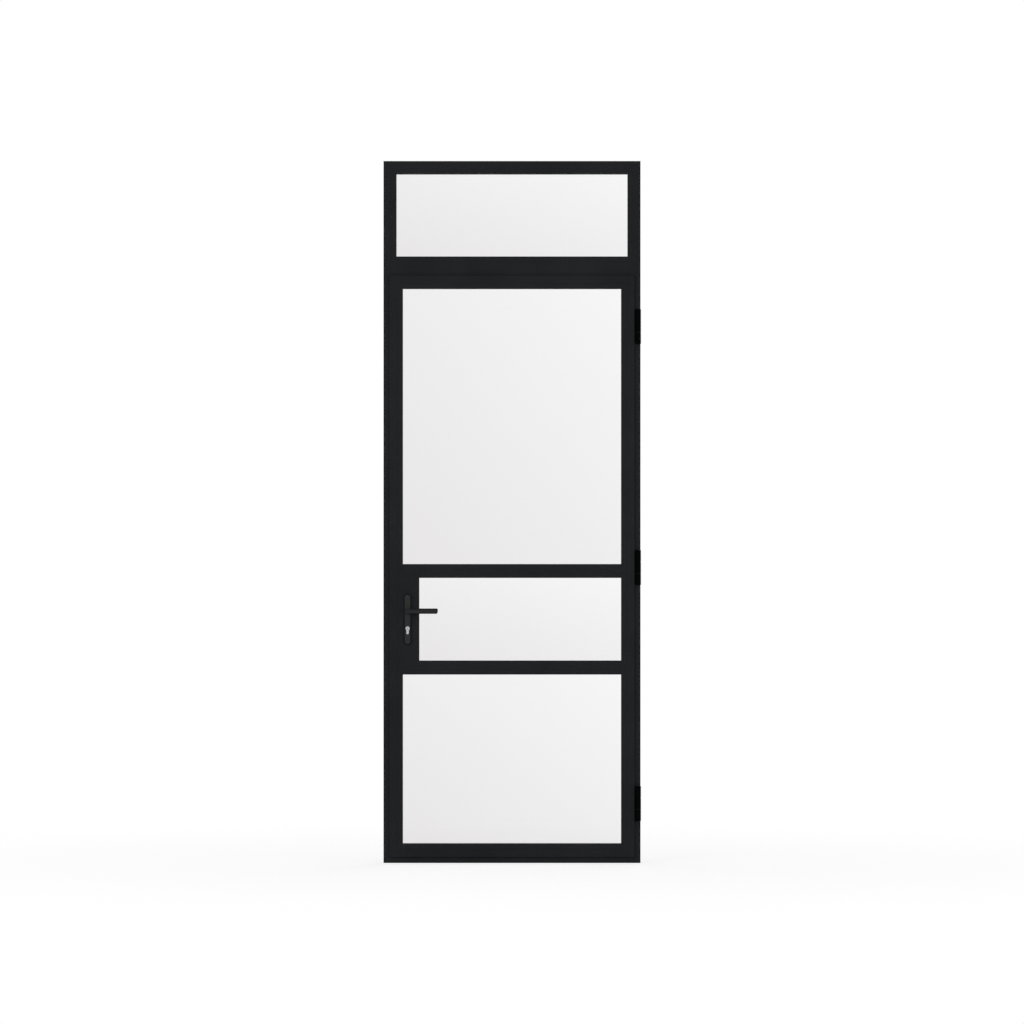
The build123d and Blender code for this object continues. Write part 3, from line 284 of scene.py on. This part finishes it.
def powder_coat():
    """Fine-textured anthracite coat, a little paler where edges are burnished."""
    material, tree, shader = new_material("powder_coat", Specular_IOR_Level=COAT_SHINE)
    here = place(tree)
    soft = rounded(tree)
    grain = noise(tree, here, COAT_GRAIN)
    mottle = noise(tree, here, COAT_MOTTLE, MORE_OCTAVES)
    tone = math_node(tree, "ADD", spread(tree, mottle, COAT_MOTTLE_BAND, COAT_MOTTLE_TONE),
                     spread(tree, grain, COAT_GRAIN_BAND, COAT_GRAIN_TONE))
    dark, pale = [scaled(COAT, share) for share in COAT_SHARES]
    ground = colour_mix(tree, tone, dark, pale)
    worn = math_node(tree, "MULTIPLY", edge_mask(tree, soft), spread(tree, grain, UNIT, COAT_WEAR))
    connect(tree, shader,
            Base_Color=colour_mix(tree, worn, ground, COAT_BURNISHED),
            Roughness=spread(tree, grain, NOISE_BAND, COAT_ROUGHNESS),
            Normal=bump(tree, grain, COAT_BUMP, COAT_RELIEF, soft))
    return material


def satin_black(name, face):
    """Handle: pale brushed faces between rounded borders darkened by painted shade."""
    material, tree, shader = new_material(name, Specular_IOR_Level=HANDLE_SHINE)
    soft = rounded(tree)
    to_front_or_rear = math_node(tree, "ABSOLUTE", split(tree, coordinates(tree, "Normal"))["Y"])
    flat = spread(tree, to_front_or_rear, HANDLE_FLAT, UNIT)
    brush = noise(tree, place(tree, BRUSH_STRETCH), BRUSH_ACROSS)
    # painted shade: the borders darken the more they turn away from front and rear
    ground = colour_mix(tree, flat, HANDLE_SHADE_AND_STREAK, face)
    streak = math_node(tree, "MULTIPLY", spread(tree, brush, UNIT, HANDLE_STREAK), flat)
    connect(tree, shader,
            Base_Color=colour_mix(tree, streak, ground, HANDLE_SHADE_AND_STREAK),
            Roughness=spread(tree, brush, NOISE_BAND, HANDLE_ROUGHNESS),
            Normal=bump(tree, brush, HANDLE_BUMP, BRUSH_RELIEF, soft))
    return material


def hinge_black():
    """Deep black lacquer with a faint orange peel, lighter along its edges."""
    material, tree, shader = new_material("hinge_black", Specular_IOR_Level=HINGE_SHINE)
    soft = rounded(tree)
    peel = noise(tree, place(tree), FINE_GRAIN)
    rubbed = math_node(tree, "MULTIPLY", edge_mask(tree, soft), peel)
    connect(tree, shader,
            Base_Color=colour_mix(tree, rubbed, HINGE, scaled(HINGE, HINGE_EDGE_SHARE)),
            Roughness=spread(tree, peel, NOISE_BAND, HINGE_ROUGHNESS),
            Normal=bump(tree, peel, HINGE_BUMP, FINE_RELIEF, soft))
    return material


def brushed_metal(name, colour, roughness, strength):
    """Bare metal with fine brush marks along Z, the bright ones smoother than the dark."""
    material, tree, shader = new_material(name, Metallic=1.0)
    brush = noise(tree, place(tree, BRUSH_STRETCH), BRUSH_ACROSS, MORE_OCTAVES)
    bright = spread(tree, brush, METAL_BAND, UNIT)
    connect(tree, shader,
            Base_Color=colour_mix(tree, bright, scaled(colour, METAL_DARK_SHARE), colour),
            Roughness=spread(tree, brush, NOISE_BAND, roughness),
            Normal=bump(tree, brush, strength, BRUSH_RELIEF, rounded(tree)))
    return material


def matte(name, colour, roughness, strength):
    """Rubber or nylon with a fine grain and a slight bloom."""
    material, tree, shader = new_material(name, Specular_IOR_Level=MATTE_SHINE)
    here = place(tree)
    grain = noise(tree, here, FINE_GRAIN)
    bloom = spread(tree, noise(tree, here, MATTE_BLOOM, MORE_OCTAVES), MATTE_BLOOM_BAND, UNIT)
    connect(tree, shader,
            Base_Color=colour_mix(tree, bloom, colour, scaled(colour, MATTE_PALE_SHARE)),
            Roughness=spread(tree, grain, UNIT, roughness),
            Normal=bump(tree, grain, strength, FINE_RELIEF, rounded(tree)))
    return material


def clear_glass():
    """Clear pane that lets the lamps through, its tint paled towards the upper right by a painted
    sheen.
    """
    material, tree, shader = new_material("clear_glass", Roughness=0.0, IOR=GLASS_IOR,
                                          Transmission_Weight=1.0)
    across = split(tree, coordinates(tree, "Generated"))
    diagonal = math_node(tree, "ADD", across["X"], across["Z"])
    # painted sheen: each pane's tint grows paler from lower left to upper right
    tint_and_sheen = colour_mix(tree, spread(tree, diagonal, GLASS_DIAGONAL, UNIT), GLASS_DEEP, GLASS_SHEEN_PALE)
    wave = noise(tree, place(tree), GLASS_WAVE, FEW_OCTAVES)
    connect(tree, shader, Base_Color=tint_and_sheen,
            Normal=bump(tree, wave, GLASS_BUMP, GLASS_RELIEF, plain_normal(tree)))
    lit = add(tree, "ShaderNodeBsdfTransparent", {"Color": tint_and_sheen}).outputs[0]
    by_lamp = add(tree, "ShaderNodeLightPath").outputs["Is Shadow Ray"]
    show(tree, shader_mix(tree, by_lamp, shader.outputs[0], lit))
    return material


FINISHES = {
    "coat": powder_coat(),
    "handle_black": satin_black("plate_black", PLATE_FACE),
    "hinge_black": hinge_black(),
    "glass": clear_glass(),
}
for slot, metal in METALS.items():
    FINISHES[slot] = brushed_metal(*metal)
for slot, stuff in MATTES.items():
    FINISHES[slot] = matte(*stuff)

lever_black = satin_black("lever_black", LEVER_FACE)
OWN_FINISH = {  # nodes that don't look as their slot does
    "lever_front": lever_black,
    "lever_rear": lever_black,
    "handle_plate_screws": FINISHES["handle_black"],
}
for hinge in ("lower", "middle", "upper"):
    OWN_FINISH[f"hinge_{hinge}_pin"] = FINISHES["hinge_black"]

for subpart in frame["record"]["subparts"]:
    piece = frame["nodes"][subpart["node"]]
    finish = OWN_FINISH.get(subpart["node"], FINISHES[subpart["material_slot"]])
    piece.data.materials.clear()
    piece.data.materials.append(finish)


# Stage, light and camera


def seen(tree):
    """1 for rays that show a background: from the camera, or by gloss or glass."""
    path = add(tree, "ShaderNodeLightPath").outputs
    shown = math_node(tree, "ADD", path["Is Camera Ray"], path["Is Glossy Ray"])
    return math_node(tree, "ADD", shown, path["Is Transmission Ray"], clamp=True)


def glow(tree, strength):
    """White light of a surface's own."""
    inputs = {"Color": opaque(WHITE), "Strength": strength}
    return add(tree, "ShaderNodeEmission", inputs).outputs[0]


def white_floor():
    """White paint that keeps a soft shadow round the door."""
    material = bpy.data.materials.new("white_floor")
    material.use_nodes = True
    tree = material.node_tree
    tree.nodes.remove(tree.nodes["Principled BSDF"])
    lit = add(tree, "ShaderNodeBsdfDiffuse", {"Color": opaque(FLOOR_PAINT)}).outputs[0]
    lifted = add(tree, "ShaderNodeAddShader", {0: lit, 1: glow(tree, FLOOR_LIFT)}).outputs[0]
    away = add(tree, "ShaderNodeVectorMath", {0: place(tree)}, operation="LENGTH").outputs["Value"]
    shadow = spread(tree, away, FLOOR_SHADOW_REACH, FLOOR_SHADOW)
    shown = shader_mix(tree, shadow, glow(tree, WHITE_STRENGTH), lifted)
    show(tree, shader_mix(tree, seen(tree), lit, shown))
    return material


def floor():
    """Wide floor just under the door."""
    height = cad_box[0].z - FLOOR_DROP
    bpy.ops.mesh.primitive_plane_add(size=FLOOR_SIZE, location=(0.0, 0.0, height))
    plane = bpy.context.object
    plane.name = "floor"
    plane.data.materials.append(white_floor())


def world():
    """White where it is seen, and a plain soft light elsewhere."""
    sky = bpy.data.worlds.new("studio")
    bpy.context.scene.world = sky
    sky.use_nodes = True
    tree = sky.node_tree
    tree.nodes.remove(tree.nodes["Background"])
    soft, white = [
        add(tree, "ShaderNodeBackground", {"Color": opaque(WHITE), "Strength": strength}).outputs[0]
        for strength in (AMBIENT, WHITE_STRENGTH)
    ]
    show(tree, shader_mix(tree, seen(tree), soft, white), "World Output")


def lamps(target):
    """Large soft lamps in front of the door and behind it, out of sight of gloss and glass."""
    for name, location, size, watts in LAMPS:
        light = bpy.data.lights.new(name, "AREA")
        light.shape = "DISK"
        light.size = size
        light.energy = watts
        lamp = bpy.data.objects.new(name, light)
        bpy.context.scene.collection.objects.link(lamp)
        lamp.location = location
        lamp.rotation_euler = (target - lamp.location).to_track_quat("-Z", "Y").to_euler()
        lamp.visible_transmission = False
        lamp.visible_glossy = False


def camera(low, high):
    """Straight on to the frame's face, as far away as the photograph's scale needs."""
    data = bpy.data.cameras.new("camera")
    data.lens = LENS_MM
    data.sensor_width = SENSOR_MM
    view_height = (high.z - low.z) / DOOR_SHARE_OF_PHOTO
    distance = view_height * LENS_MM / SENSOR_MM
    data.clip_end = CLIP_SHARE * distance
    eye = bpy.data.objects.new("camera", data)
    bpy.context.scene.collection.objects.link(eye)
    eye.location = ((low.x + high.x) / 2, low.y - distance, (low.z + high.z) / 2)
    eye.rotation_euler = (math.pi / 2, 0.0, 0.0)
    bpy.context.scene.camera = eye


frame_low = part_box("jamb_lock_side")[0]
frame_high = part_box("jamb_hinge_side")[1]
bpy.context.scene.view_settings.view_transform = "Standard"
floor()
world()
lamps((frame_low + frame_high) / 2)
camera(frame_low, frame_high)
